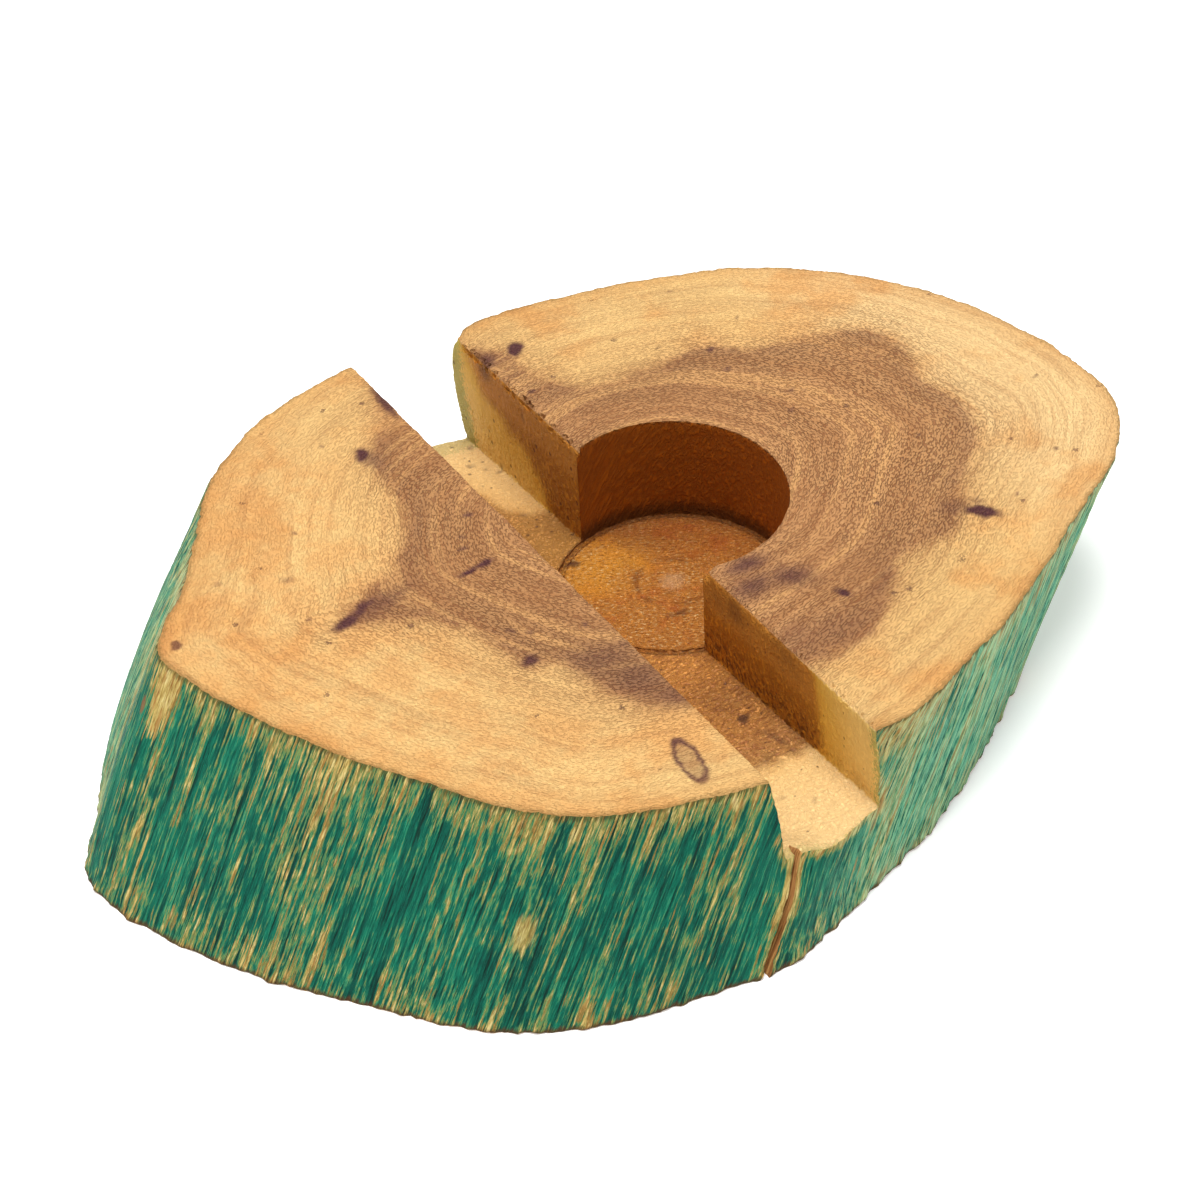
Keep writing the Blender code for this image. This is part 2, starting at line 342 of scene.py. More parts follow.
def fill_patch(members, patch_of, points, chains):
    """Triangles that fill one patch, over its border points and a grid of new points inside it."""
    number = patch_of[members[0]]
    normal = members[0].normal.copy()
    across = normal.orthogonal().normalized()
    along = normal.cross(across)
    border = []
    for face in members:
        for edge in face.edges:
            if any(patch_of[other] != number for other in edge.link_faces):
                border += list(zip(chains[edge], chains[edge][1:]))
    used = sorted({i for pair in border for i in pair})
    local = {index: i for i, index in enumerate(used)}
    flat = [(points[i].dot(across) / MM, points[i].dot(along) / MM) for i in used]
    near = KDTree(len(flat))
    for i, (x, y) in enumerate(flat):
        near.insert((x, y, 0), i)
    near.balance()
    corners = []
    for face in members:
        corners += [v.co.copy() for v in face.verts]
    tree = BVHTree.FromPolygons(corners, [(i, i + 1, i + 2) for i in range(0, len(corners), 3)])
    level = max(c.dot(normal) for c in corners) + MM
    low = np.min(flat, axis=0)
    high = np.max(flat, axis=0)
    region = members[0].material_index
    coarse = EDGE_LENGTHS[region] / MM
    fine = min(coarse, CREASE_LENGTH / MM)
    frame_2d = np.array((across, along, normal))
    plane = members[0].verts[0].co.dot(normal)
    for spacing in (fine, coarse):
        spots = grid(low, high, spacing)
        gaps = np.array([near.find((x, y, 0))[2] for x, y in spots.tolist()])
        detailed = gaps <= FINE_BAND * coarse
        if region == TOP:
            places = np.column_stack([spots * MM, np.full(len(spots), plane)]) @ frame_2d
            detailed |= mark_gap(grain_place(places)) < MARK_MARGIN
        wanted = detailed if spacing == fine else ~detailed
        for x, y in spots[wanted & (gaps > 0.6 * fine)].tolist():
            start = across * x * MM + along * y * MM + normal * level
            hit = tree.ray_cast(start, -normal)[0]
            if hit is not None:
                flat.append((x, y))
                used.append(len(points))
                points.append(hit)
    made = delaunay_2d_cdt(
        [Vector(p) for p in flat], [(local[a], local[b]) for a, b in border], [],
        INSIDE_WITH_HOLES, 1e-6,
    )
    origin = [used[old[0]] if old else None for old in made[3]]
    faces = []
    for triangle in made[2]:
        face = [origin[i] for i in triangle]
        middle = sum((made[0][i] for i in triangle), Vector((0, 0))) / 3
        start = across * middle.x * MM + along * middle.y * MM + normal * level
        if tree.ray_cast(start, -normal)[0] is not None:
            faces.append(face)
    return faces


def refined(mesh):
    """The solid's surface again in small, even triangles: points, triangles and their regions."""
    patches, patch_of = grow_patches(mesh)
    points, chains = cut_borders(mesh, patch_of)
    faces = []
    regions = []
    for members in patches:
        made = fill_patch(members, patch_of, points, chains)
        faces += made
        regions += [members[0].material_index] * len(made)
    return np.array([p[:] for p in points]), np.array(faces), np.array(regions)


class Block:
    """The refined surface as arrays: where its points rest, what they touch and how they lie."""

    def __init__(self, mesh, found):
        self.found = found
        self.rest, self.faces, self.regions = refined(mesh)
        sides = np.vstack([self.faces[:, pair] for pair in ([0, 1], [1, 2], [2, 0])])
        self.edges = np.unique(np.sort(sides), axis=0)
        self.touches = np.zeros((len(REGIONS), len(self.rest)), bool)
        for region in REGIONS:
            self.touches[region, self.faces[self.regions == region].ravel()] = True
        self.normals = self.point_normals(self.faces)
        self.grain = grain_place(self.rest) * MM
        self.depth = TOP_HEIGHT + self.rest[:, :2] @ TOP_RISE - self.rest[:, 2]
        self.crease = self.creased_points()
        self.edge_gap = self.distance_to(self.rest[self.crease])
        self.outline = self.bark_outline()

    def facing(self, faces):
        """The direction of each of the given faces, as long as twice the face's area."""
        a, b, c = (self.rest[faces[:, i]] for i in range(3))
        return np.cross(b - a, c - a)

    def point_normals(self, faces):
        """The average direction of the given faces around each point."""
        total = np.zeros_like(self.rest)
        for i in range(3):
            np.add.at(total, faces[:, i], self.facing(faces))
        return unit(total)

    def creased_points(self):
        """Points around which the faces turn sharply."""
        facing = unit(self.facing(self.faces))
        turned = np.zeros(len(self.rest), bool)
        for i in range(3):
            at = self.faces[:, i]
            turned[at[np.sum(facing * self.normals[at], axis=1) < CREASE_FACING]] = True
        return turned

    def distance_to(self, targets):
        tree = KDTree(len(targets))
        for i, target in enumerate(targets.tolist()):
            tree.insert(target, i)
        tree.balance()
        return np.array([tree.find(p)[2] for p in self.rest.tolist()])

    def bark_outline(self):
        """The branch's outline on the figure's plane, from the rim of the sawn top."""
        rim = self.grain[self.touches[TOP] & self.touches[SIDE]]
        turn = rim - rim.mean(0)
        order = np.argsort(np.arctan2(turn[:, 1], turn[:, 0]))
        return rim[order][::4]

    def neighbours(self, values):
        """The sum of the values of each point's neighbours, and how many neighbours it has."""
        total = np.zeros_like(values)
        for here, there in ((0, 1), (1, 0)):
            np.add.at(total, self.edges[:, here], values[self.edges[:, there]])
        return total, np.bincount(self.edges.ravel(), minlength=len(self.rest))[:, None]

    def spread(self, moves, fixed):
        """Carries the moves of the fixed points out to their neighbours, fading with distance."""
        for _ in range(SPREAD_ROUNDS):
            total, count = self.neighbours(moves)
            moves = np.where(fixed[:, None], moves, SPREAD_FADE * total / count)
        return moves


def flutes(block):
    """How far the debarked side stands out at each point: ridges and furrows along the grain."""
    x, y = block.grain.T / MM
    z = block.rest[:, 2] / MM
    rise = 0
    for height, across, along, offset in FLUTES:
        rise += height * noise_at(np.column_stack([x / across, y / across, z / along]) + offset)
    torn = noise_at(block.rest / (TORN_SIZE * MM)) * block.crease
    notches = noise_at(block.rest / (NOTCH_SIZE * MM), 2) * smooth_step(-z, -NOTCH_TOP, -0.3)
    return (rise + TORN_HEIGHT * torn + NOTCH_HEIGHT * notches) * MM


def fluted(block, rise):
    """Moves of the side, level and outward, with the sawn faces near the rim drawn along."""
    on_side = block.touches[SIDE] | block.touches[CHECK]
    out = block.point_normals(block.faces[block.regions == SIDE])
    out[:, 2] = 0
    return block.spread(np.where(on_side[:, None], unit(out) * rise[:, None], 0), on_side)


def boss_relief(x, y, out):
    """The ring, the dish inside it and the centre boss, out from the recess's axis."""
    broken = 0.6 + 0.9 * level_noise(x, y, 3, 3, 2)
    ring = -RING_DEPTH * broken * np.exp(-(((out - BOSS_RING) / RING_WIDTH) ** 2))
    ring += BOSS_RISE * np.exp(-((out / BOSS_WIDTH) ** 2))
    return ring - DISH_DEPTH * smooth_step(BOSS_RING - out, 0, 1.5)


def ledge_relief(x, y, near):
    """The low ledge along the foot of the near wall, faded out towards both ends."""
    ledge = LEDGE_RISE * smooth_step(x, near - LEDGE_WIDTH, near - LEDGE_WIDTH + 0.4)
    return ledge * (smooth_step(-y, 18, 22) * smooth_step(y, -50, -40))


def roughened_floors(block):
    """Upright moves of the slot's floor and the recess's floor."""
    x, y, z = block.rest.T / MM
    radius = block.found.radius / MM
    floor = block.found.floor / MM
    level = block.touches[CUT] & (block.normals[:, 2] > 0.8) & (np.abs(z - floor) < 1.2)
    out = np.hypot(x, y)
    bore = out < radius - 1
    fibres = level_noise(x, y, 1.1, 0.8, 0, 3)
    fuzz = level_noise(x, y, 0.75, 0.75, 9, 2)
    bored = 0.30 * fuzz + 0.12 * fibres + boss_relief(x, y, out)
    routed = 0.13 * fibres + 0.06 * fuzz + ledge_relief(x, y, block.found.near_x / MM)
    rise = np.where(level & ~(block.crease & ~bore), np.where(bore, bored, routed), 0)
    groove = block.touches[CUT] & (z < floor - 0.12) & (out < radius + 0.2)
    filled = (floor - z) * (GROOVE_FILL + 0.25 * noise_at(block.rest / (1.2 * MM)))
    return np.where(groove, filled, rise) * MM


def roughened_walls(block):
    """Moves of the slot's walls and the recess's wall along their own normals."""
    x, y, z = block.rest.T / MM
    upright = block.touches[CUT] & (np.abs(block.normals[:, 2]) < 0.3)
    height = z - block.found.floor / MM
    low = smooth_step(5.5 - height, 0, 4)
    fibres = noise_at(np.column_stack([x / 0.8, y / 0.8, z / 5]), 2)
    broad = noise_at(np.column_stack([x / 5, y / 5, z / 9 + 5]))
    rise = (0.05 + 0.16 * low) * fibres + 0.08 * broad
    return np.where(upright & ~block.crease, rise, 0) * MM


def top_waves(block):
    """Upright moves of the sawn and sanded faces."""
    x, y = block.rest[:, :2].T / MM
    waves = 0.09 * level_noise(x, y, 11, 11, 0)
    waves += 0.04 * level_noise(x, y, 3.1, 3.1, 4)
    return np.where(block.touches[TOP], waves, 0) * MM


def chips(block):
    """How much each point of the slot's upper edges has been torn away, from 0 to 1."""
    x, y = block.rest[:, :2].T / MM
    near = np.abs(x - block.found.near_x / MM) < CHIP_BAND
    top_edge = block.depth < 0.9 * MM
    places = level_noise(x * 0, y, 1, 0.8, 3)
    clusters = 0.5 + 0.5 * level_noise(x * 0, y, 1, 7, 8)
    torn = smooth_step(places + 0.45 * clusters, 0.2, 0.42)
    strength = np.where(y > WELL_CHIPPED_FROM, 1.0, 0.35)
    return torn * strength * near * top_edge


def worn(block, points):
    """Rounds the sharp edges a little: each edge point moves towards its neighbours."""
    p = block.rest / MM
    soft = 0.45 + 0.5 * noise_at(p / 4.5)
    soft = np.clip(soft + 0.25 * noise_at(p / 1.3 + 7), 0.1, 0.95)
    blend = np.where(block.crease, soft, 0)[:, None]
    for _ in range(WEAR_ROUNDS):
        total, count = block.neighbours(points)
        points = points * (1 - blend) + total / count * blend
    return points


def closed_check(block):
    """Level moves that draw the lips of the drying check a little closer together."""
    foot = block.rest[:, :2] - LEAN * block.rest[:, 2:]
    offset = (foot - CHECK_FOOT) / MM
    share = smooth_step(-np.linalg.norm(offset, axis=1), *LIP_REACH) * block.touches[SIDE]
    return -np.sign(offset[:, 0]) * share * LIP_CLOSED * MM


def worn_round(block, place, reach):
    """How much wear at a place takes from each point, from 1 there to 0 at the reach, as a column."""
    away = np.linalg.norm(block.rest - place, axis=1) / MM
    return smooth_step(-away, -reach, 0)[:, None] ** 1.5


def knocked_corners(block):
    """Moves that wear back the corners of the slot: beside the recess, at the rim and at the check.

    Each corner of the slot's near edge has its place along the slot, the wear's reach and how much it
    takes, in millimetres, and how far the wear turns from the corner's own direction to the slot's.
    """
    near = block.found.near_x
    on_edge = block.touches[TOP] & block.touches[CUT] & (np.abs(block.rest[:, 0] - near) < ON_PLANE)
    edge = np.flatnonzero(on_edge)
    along = block.rest[edge, 1]
    recess = (block.found.radius**2 - near**2) ** 0.5
    moves = np.zeros_like(block.rest)
    for y, reach, back, turn in (
        (along.min(), 8.5, 2.3, 0.9), (along.max(), 3.5, 0.9, 0), (-recess, 2.6, 1.1, 0),
        (recess, 1.6, 0.3, 0),
    ):
        corner = edge[np.argmin(np.abs(along - y))]
        inward = turn * np.array((0.0, 1.0, 0.0)) - (1 - turn) * block.normals[corner]
        moves += worn_round(block, block.rest[corner], reach) * inward * back * MM
    check_mouth = np.array((*(CHECK_FOOT + LEAN * block.found.floor), block.found.floor))
    moves += worn_round(block, check_mouth, CHECK_MOUTH_REACH) * CHECK_MOUTH_WEAR * MM
    return moves


def shaped(block, rise):
    """The points of the worn and weathered block."""
    points = block.rest + fluted(block, rise)
    points += knocked_corners(block)
    points[:, 0] += closed_check(block)
    points[:, 2] += roughened_floors(block) + top_waves(block)
    points += block.normals * roughened_walls(block)[:, None]
    torn = chips(block)
    points[:, 2] -= torn * CHIP_DROP * MM
    points[:, 0] += torn * CHIP_DEPTH * MM
    lip = block.touches[SIDE] & block.touches[CHECK]
    points[:, 0] += lip * noise_at(block.rest / (1.4 * MM), 2) * LIP_RAGGED * MM
    points = worn(block, points)
    points[:, 2] = np.maximum(points[:, 2], 0)
    return points


def mark_darkness(flat, marks):
    """How dark the given knots and stains make each place on the figure's plane, from 0 to 1."""
    flat3 = np.column_stack([flat, flat[:, 0] * 0])
    warp = [noise_at(flat3 / MARK_WARP_SIZE + offset, 2) * MARK_WARP for offset in (5, 55)]
    warped = flat + np.column_stack(warp)
    total = np.zeros(len(flat))
    for x, y, length, width, turn, dark, blur in marks:
        away = ellipse(warped, x, y, length / 2, width / 2, turn)
        total = np.maximum(total, 1.15 * dark * smooth_step(-away, -1 - blur, blur - 1))
    if marks is MARKS:
        away = ellipse(flat * 0.3 + warped * 0.7, *RIM_KNOT)
        rim = smooth_step(away, 0.60, 0.88) * smooth_step(-away, -1.25, -1.0) * RIM_DARKNESS
        heart = smooth_step(-away, -1.1, -0.8) * RIM_KNOT_DARKNESS
        total = np.maximum(total, np.maximum(rim, heart))
    return np.minimum(total, DARKEST)


def darkness(block):
    """The marks at each point: the top's fade down the cut walls, and the cut floors have their own."""
    flat = block.grain / MM
    upper = mark_darkness(flat, MARKS)
    lower = mark_darkness(flat, FLOOR_MARKS)
    below = smooth_step(block.depth / MM, 1.5, 6) * ~block.touches[TOP] * ~block.touches[BASE]
    on_floor = smooth_step(-np.abs(block.rest[:, 2] - block.found.floor) / MM, -1.5, -0.8)
    return np.maximum(upper * (1 - below), lower * on_floor)


def upright(block):
    """1 at points of the slot's and the recess's walls, and 0 on level faces."""
    return smooth_step(-np.abs(block.normals[:, 2]), -0.75, -0.45)


def ring_place(block):
    """A coordinate in millimetres that grows from the bark inwards, level along each growth ring."""
    flat = block.grain / MM
    bark = signed_distance(flat, block.outline / MM)
    pith = np.linalg.norm(flat - PITH, axis=1)
    share = bark / (bark + pith)
    wobble = level_noise(*flat.T, RING_WOBBLE_SIZE, RING_WOBBLE_SIZE, 0, 2)
    return RING_SPAN * share + RING_WOBBLE * wobble, bark


def stored_values(block, rise):
    """What the materials need to know at each point, three values under each name."""
    heart = signed_distance(block.grain / MM, HEARTWOOD)
    ring, bark = ring_place(block)
    out = np.hypot(*block.rest[:, :2].T)
    gap = np.minimum(block.edge_gap / MM, 8)
    return {
        "grain": (block.grain / MM, block.rest[:, 2] / MM),
        "figure": (heart, ring, bark),
        "place": (block.depth / MM, gap, rise / MM),
        "extra": (darkness(block), upright(block), out / MM),
    }


def build_block(node):
    """The finished wood as one object, with what its materials need stored at its points.

    Also returns what was measured on the frame's solid.
    """
    mesh, found = frame_copy(node)
    block = Block(mesh, found)
    mesh.free()
    rise = flutes(block)
    points = shaped(block, rise)
    data = bpy.data.meshes.new("carved_wood")
    data.from_pydata(points.tolist(), [], block.faces.tolist())
    data.polygons.foreach_set("material_index", block.regions.astype(np.int32))
    for name, columns in stored_values(block, rise).items():
        layer = data.attributes.new(name, "FLOAT_VECTOR", "POINT")
        layer.data.foreach_set("vector", np.column_stack(columns).astype(np.float32).ravel())
    data.shade_smooth()
    data.set_sharp_from_angle(angle=SMOOTH_BELOW)
    data.update()
    made = bpy.data.objects.new("carved_wood", data)
    bpy.context.scene.collection.objects.link(made)
    return made, found


def linear(red, green, blue):
    """A colour given as 0 to 255 display values, as the linear values that nodes take."""
    made = []
    for part in (red, green, blue):
        part /= 255
        made.append(part / 12.92 if part <= 0.04045 else ((part + 0.055) / 1.055) ** 2.4)
    return (*made, 1)


class Wire:
    """A node's output. Arithmetic between wires and numbers adds the nodes that work it out."""

    def __init__(self, nodes, socket):
        self.nodes = nodes
        self.socket = socket

    def __add__(self, other):
        return self.nodes.math("ADD", self, other)

    def __sub__(self, other):
        return self.nodes.math("SUBTRACT", self, other)

    def __rsub__(self, other):
        return self.nodes.math("SUBTRACT", other, self)

    def __mul__(self, other):
        return self.nodes.math("MULTIPLY", self, other)

    def __abs__(self):
        return self.nodes.math("ABSOLUTE", self)

    __radd__ = __add__
    __rmul__ = __mul__


class Nodes:
    """The node tree of one material, built by calls that return wires."""

    def __init__(self, name):
        self.material = bpy.data.materials.new(name)
        self.material.use_nodes = True
        self.tree = self.material.node_tree
        self.surface = self.tree.nodes["Principled BSDF"]

    def feed(self, socket, value):
        if isinstance(value, Wire):
            self.tree.links.new(value.socket, socket)
        else:
            socket.default_value = value

    def add(self, kind, inputs, output=0, **settings):
        node = self.tree.nodes.new("ShaderNode" + kind)
        for name, value in settings.items():
            setattr(node, name, value)
        for name, value in inputs.items():
            self.feed(node.inputs[name], value)
        return Wire(self, node.outputs[output])

    def math(self, operation, a, b=0.0):
        return self.add("Math", {0: a, 1: b}, operation=operation)

    def stored(self, name):
        return self.add("Attribute", {}, "Vector", attribute_name=name)

    def split(self, vector):
        node = self.tree.nodes.new("ShaderNodeSeparateXYZ")
        self.feed(node.inputs[0], vector)
        return [Wire(self, output) for output in node.outputs]

    def join(self, x, y, z):
        return self.add("CombineXYZ", {0: x, 1: y, 2: z})

    def scaled(self, vector, factors):
        return self.add("VectorMath", {0: vector, 1: factors}, operation="MULTIPLY")

    def shifted(self, vector, offset):
        return self.add("VectorMath", {0: vector, 1: offset}, operation="ADD")

    def noise(self, vector, scale=1.0, detail=2.0, roughness=0.5, distortion=0.0, output="Fac"):
        values = {
            "Vector": vector, "Scale": scale, "Detail": detail, "Roughness": roughness,
            "Distortion": distortion,
        }
        return self.add("TexNoise", values, output)

    def streaks(self, grain, across, along, detail=3, roughness=0.6, distortion=0.0):
        """Noise with its own fineness across the grain and along it."""
        return self.noise(self.scaled(grain, (across, across, along)), 1.0, detail, roughness, distortion)

    def cells(self, vector, scale):
        return self.add("TexVoronoi", {"Vector": vector, "Scale": scale}, "Distance")

    def step(self, value, low, high):
        """Smooth change from 0 to 1 as the value goes from low to high."""
        values = {"Value": value, 1: low, 2: high, 3: 0.0, 4: 1.0}
        return self.add("MapRange", values, interpolation_type="SMOOTHSTEP")

    def away(self, vector, centre, shape=(1, 1, 1)):
        """Distance from a centre, measured in units that the shape scales."""
        offset = self.shifted(vector, tuple(-c for c in centre))
        return self.add("VectorMath", {0: self.scaled(offset, shape)}, "Value", operation="LENGTH")

    def mix(self, share, a, b, blend="MIX"):
        node = self.tree.nodes.new("ShaderNodeMix")
        node.data_type = "RGBA"
        node.blend_type = blend
        for socket, value in ((node.inputs[0], share), (node.inputs[6], a), (node.inputs[7], b)):
            self.feed(socket, value)
        return Wire(self, node.outputs[2])

    def coats(self, colour, *layers):
        """Lays tones over the colour, each over its own share of it."""
        for share, tone in layers:
            colour = self.mix(share, colour, linear(*tone))
        return colour

    def tint(self, share, colour, factors):
        """Multiplies a share of the colour by red, green and blue factors."""
        return self.mix(share, colour, (*factors, 1), "MULTIPLY")

    def ramp(self, value, stops):
        """Colours at the given values, blended between them."""
        low, high = stops[0][0], stops[-1][0]
        span = {"Value": value, 1: low, 2: high, 3: 0.0, 4: 1.0}
        share = self.add("MapRange", span)
        node = self.tree.nodes.new("ShaderNodeValToRGB")
        self.feed(node.inputs[0], share)
        points = node.color_ramp.elements
        while len(points) < len(stops):
            points.new(0.5)
        for point, (at, colour) in zip(points, stops):
            point.position = (at - low) / (high - low)
            point.color = linear(*colour)
        return Wire(self, node.outputs[0])

    def finish(self, colour, roughness, height, bump_mm, specular=0.4):
        bump = self.add("Bump", {"Strength": 1.0, "Distance": bump_mm * MM, "Height": height})
        self.feed(self.surface.inputs["Normal"], bump)
        self.feed(self.surface.inputs["Base Color"], colour)
        self.feed(self.surface.inputs["Roughness"], roughness)
        self.feed(self.surface.inputs["Specular IOR Level"], specular)
        return self.material


# Tones are display values from 0 to 255. The sawn end grain's tones come first.
HEART_STOPS = (  # by millimetres inside the heartwood's outline
    (-16, (227, 186, 119)), (-5, (221, 177, 111)), (-2.0, (212, 165, 102)), (-0.9, (192, 143, 88)),
    (0.0, (156, 107, 66)), (1.6, (152, 104, 64)), (4, (165, 114, 70)), (9, (176, 122, 74)),
    (16, (174, 120, 73)),
)
LEFT_HEART = (120, 70, 30)
LOBE_HEART = (150, 102, 62)
HEART_BORDER = (108, 64, 46)
WARM_SAPWOOD = (218, 150, 80)
PALE_SAPWOOD = (240, 206, 150)
BLOOM = (214, 146, 74)
DARK_BAND = (134, 80, 40)
LIGHT_BAND = (216, 160, 96)
RING_LINE = (150, 90, 44)
PORE_GAP = (104, 56, 24)
PORE_LUMP = (240, 192, 126)
SCALE_GAP = (178, 116, 60)
KNOT_TONE = (78, 34, 36)
NEAR_BARK = (200, 138, 70)
TOP_RIM = (134, 100, 46)


def end_grain_wires(n):
    """The values from which the layers of the sawn end grain are drawn."""
    w = SimpleNamespace(flat=n.scaled(n.stored("grain"), (1, 1, 0)))
    heart, w.ring, w.bark = n.split(n.stored("figure"))
    w.knots, _, _ = n.split(n.stored("extra"))
    w.x, w.y, _ = n.split(w.flat)
    w.drift = n.noise(w.flat, 0.22, 3, 0.6)
    w.edge = heart + (w.drift - 0.5) * 3.2
    w.inside = n.step(w.edge, -4, 2)
    w.lobe = n.step(w.x, 8, 30)
    w.lumpy = n.noise(n.join(w.x * 0.7, w.y * 0.7, w.ring * 1.3), 2.0, 2.0, 0.55, 0.5)
    w.fine = n.noise(n.join(w.x, w.y, w.ring * 1.1), 3.2, 2, 0.6, 0.3)
    return w


def heart_and_sapwood(n, w):
    """The broad figure: brown heartwood with a darker border, and sapwood that varies across the top."""
    left = n.step(w.x, -20, -26) * n.step(w.edge, -3, 2)
    warm = n.step(w.x, -36, -46) * n.step(w.drift, 0.36, 0.62) * (1.0 - w.inside)
    pale = n.step(w.x, 30, 55) * (1.0 - w.inside)
    border = n.step(abs(w.edge - 0.6), 2.0, 0.3) * n.step(w.drift, 0.40, 0.56)
    broad = n.noise(n.shifted(w.flat, (40, 7, 3)), 0.075, 3, 0.6)
    bloom = n.step(broad, 0.46, 0.66) * n.step(w.bark, 24, 12)
    return n.coats(
        n.ramp(w.edge, HEART_STOPS),
        (left * 0.38, LEFT_HEART),
        (w.lobe * w.inside * 0.12, LOBE_HEART),
        (warm * 0.42, WARM_SAPWOOD),
        (pale * 0.5, PALE_SAPWOOD),
        (border * (0.26 - w.lobe * 0.12), HEART_BORDER),
        (bloom * 0.6, BLOOM),
    )


def growth_rings(n, w, colour):
    """Dark and light bands, and fine lines, along the growth rings."""
    band = n.noise(n.join(w.ring * 0.42, w.x * 0.012, w.y * 0.012), 1.0, 3, 0.6)
    line = n.noise(n.join(w.ring, w.x * 0.03, w.y * 0.03), 1.5, 3, 0.65)
    w.rings = n.step(line, 0.51, 0.62)
    return n.coats(
        colour,
        (n.step(band, 0.50, 0.58) * (w.inside * 0.36 + 0.12), DARK_BAND),
        (n.step(band, 0.47, 0.39) * (w.inside * 0.38 + 0.10), LIGHT_BAND),
        (w.rings * (w.inside * 0.18 + 0.22), RING_LINE),
    )


def pores(n, w, colour):
    """The pebbled pattern of the cut pores: light lumps, dark gaps, and finer scales over both."""
    pebbles = n.cells(n.join(w.x * 0.65, w.y * 0.65, w.ring * 1.8), 2.5)
    w.lumps = n.step(pebbles + (w.lumpy - 0.5) * 0.5, 0.84, 0.46)
    patchy = n.noise(n.shifted(w.flat, (3, 90, 1)), 0.10, 2)
    varied = n.step(patchy, 0.35, 0.65) * 0.12 + w.lobe * 0.08 + 0.14
    w.contrast = n.step(w.edge, -12, 3) * varied + 0.13
    w.scales = n.step(w.fine, 0.42, 0.58)
    return n.coats(
        colour,
        ((1.0 - w.lumps) * w.contrast * 0.85, PORE_GAP),
        (w.lumps * w.contrast * 0.40, PORE_LUMP),
        ((1.0 - w.scales) * 0.14, SCALE_GAP),
    )


def knots_and_rim(n, w, colour):
    """The knots, a scatter of specks, and the darker wood close to the bark."""
    speck_field = n.cells(n.shifted(w.flat, (5, 5, 0)), 0.15)
    specks = n.step(speck_field + (w.fine - 0.5) * 0.25, 0.07, 0.045) * 0.6
    w.dark = n.math("MAXIMUM", w.knots * (0.8 + w.fine * 0.5), specks)
    near_bark = n.step(w.bark + (w.drift - 0.5) * 4.0, 5.5, 0.6)
    rim = n.step(w.bark + (w.lumpy - 0.5) * 2.4, 1.0, 0.1)
    return n.coats(colour, (w.dark, KNOT_TONE), (near_bark * 0.35, NEAR_BARK), (rim * 0.55, TOP_RIM))


def end_grain(name):
    """Bare sawn end grain: cream sapwood, brown heartwood, growth rings, pore pattern and knots."""
    n = Nodes(name)
    w = end_grain_wires(n)
    colour = heart_and_sapwood(n, w)
    for layer in (growth_rings, pores, knots_and_rim):
        colour = layer(n, w, colour)
    fuzz = n.noise(w.flat, 6.0, 3, 0.65)
    height = w.lumps * (w.contrast * 2.0 + 0.34) + fuzz * 0.3 + w.scales * 0.2
    height = height - w.dark * 0.5 - w.rings * 0.16
    return n.finish(colour, 0.50 + fuzz * 0.22, height, 0.24, 0.3)


# Tones and tints of the cut grain
CUT_STOPS = (
    (-12, (243, 204, 138)), (-5, (241, 200, 130)), (-2.4, (238, 190, 117)), (-0.9, (216, 156, 84)),
    (2, (206, 142, 76)), (8, (216, 148, 72)), (16, (226, 150, 66)),
)
TUFT_GAP = (126, 60, 18)
DARK_STROKE = (118, 54, 20)
LIGHT_STROKE = (244, 186, 108)
CUT_RING_LINE = (146, 76, 24)
BORED_TINT = (1.0, 0.93, 0.78)
BORED_RED = (200, 88, 30)
BORED_GLOW = (250, 168, 52)
# Partly painted shade, partly the floor's own darker tone, towards the back right of the recess
BORED_SHADE = (160, 76, 16)
# Painted glints on the recess's floor
PAINTED_GLINT = (255, 220, 158)
GRIT_GAP = (122, 46, 12)
# Painted shade along the shallow ring groove round the boss
BOSS_RING_SHADE = (118, 56, 18)
# Painted highlight on the top of the centre boss
BOSS_HIGHLIGHT = (244, 192, 138)
# Painted shade of the walls, and the coat of the recess's wall under its painted shade
WALL_SHADE = (0.86, 0.75, 0.25)
RECESS_WALL = (196, 118, 50)
RECESS_WALL_SHADE = (0.66, 0.47, 0.13)
SMOOTH_WALL = (206, 136, 54)
BACK_FLOOR = (186, 130, 56)
TORN_FOOT = (70, 28, 8)
RECESS_FOOT = (44, 28, 8)
# Painted shade in the cutter's rim groove
GROOVE_SHADE = (84, 44, 14)
STAINED_SKIN = (126, 138, 66)
CUT_KNOT_TONE = (58, 28, 26)
GLOW_CENTRE = (3.7, 12.7, 0.0)  # of the golden patch on the recess's floor, in figure coordinates


def cut_wires(n, radius):
    """The values from which the layers of the cut grain are drawn."""
    w = SimpleNamespace(grain=n.stored("grain"), radius=radius)
    heart, w.ring, w.bark = n.split(n.stored("figure"))
    w.depth, _, _ = n.split(n.stored("place"))
    w.knots, w.upright, w.out = n.split(n.stored("extra"))
    w.x, w.y, w.z = n.split(w.grain)
    w.flat = n.scaled(w.grain, (1, 1, 0))
    bore = n.step(w.out, radius + 0.15, radius + 0.05)
    w.slot = 1.0 - bore
    w.level = 1.0 - w.upright
    w.dish = bore * w.level
    w.hollow = w.upright * bore
    w.behind = n.step(w.y, 12, 20) * w.slot
    drift = n.noise(w.flat, 0.2, 3, 0.6)
    w.edge = heart + (drift - 0.5) * 4.0 - w.level * n.step(w.y, -27, -37) * 3.2
    w.brown = n.step(w.edge, -3.5, -0.5)
    w.streaks = n.streaks(w.grain, 1.5, 0.16, 4, 0.62)
    w.fuzz = n.noise(n.scaled(w.grain, (1.0, 1.0, 0.5)), 2.2, 4, 0.65, 0.4)
    w.gold = n.noise(n.shifted(w.flat, (7, 1, 0)), 0.16, 3, 0.6)
    return w


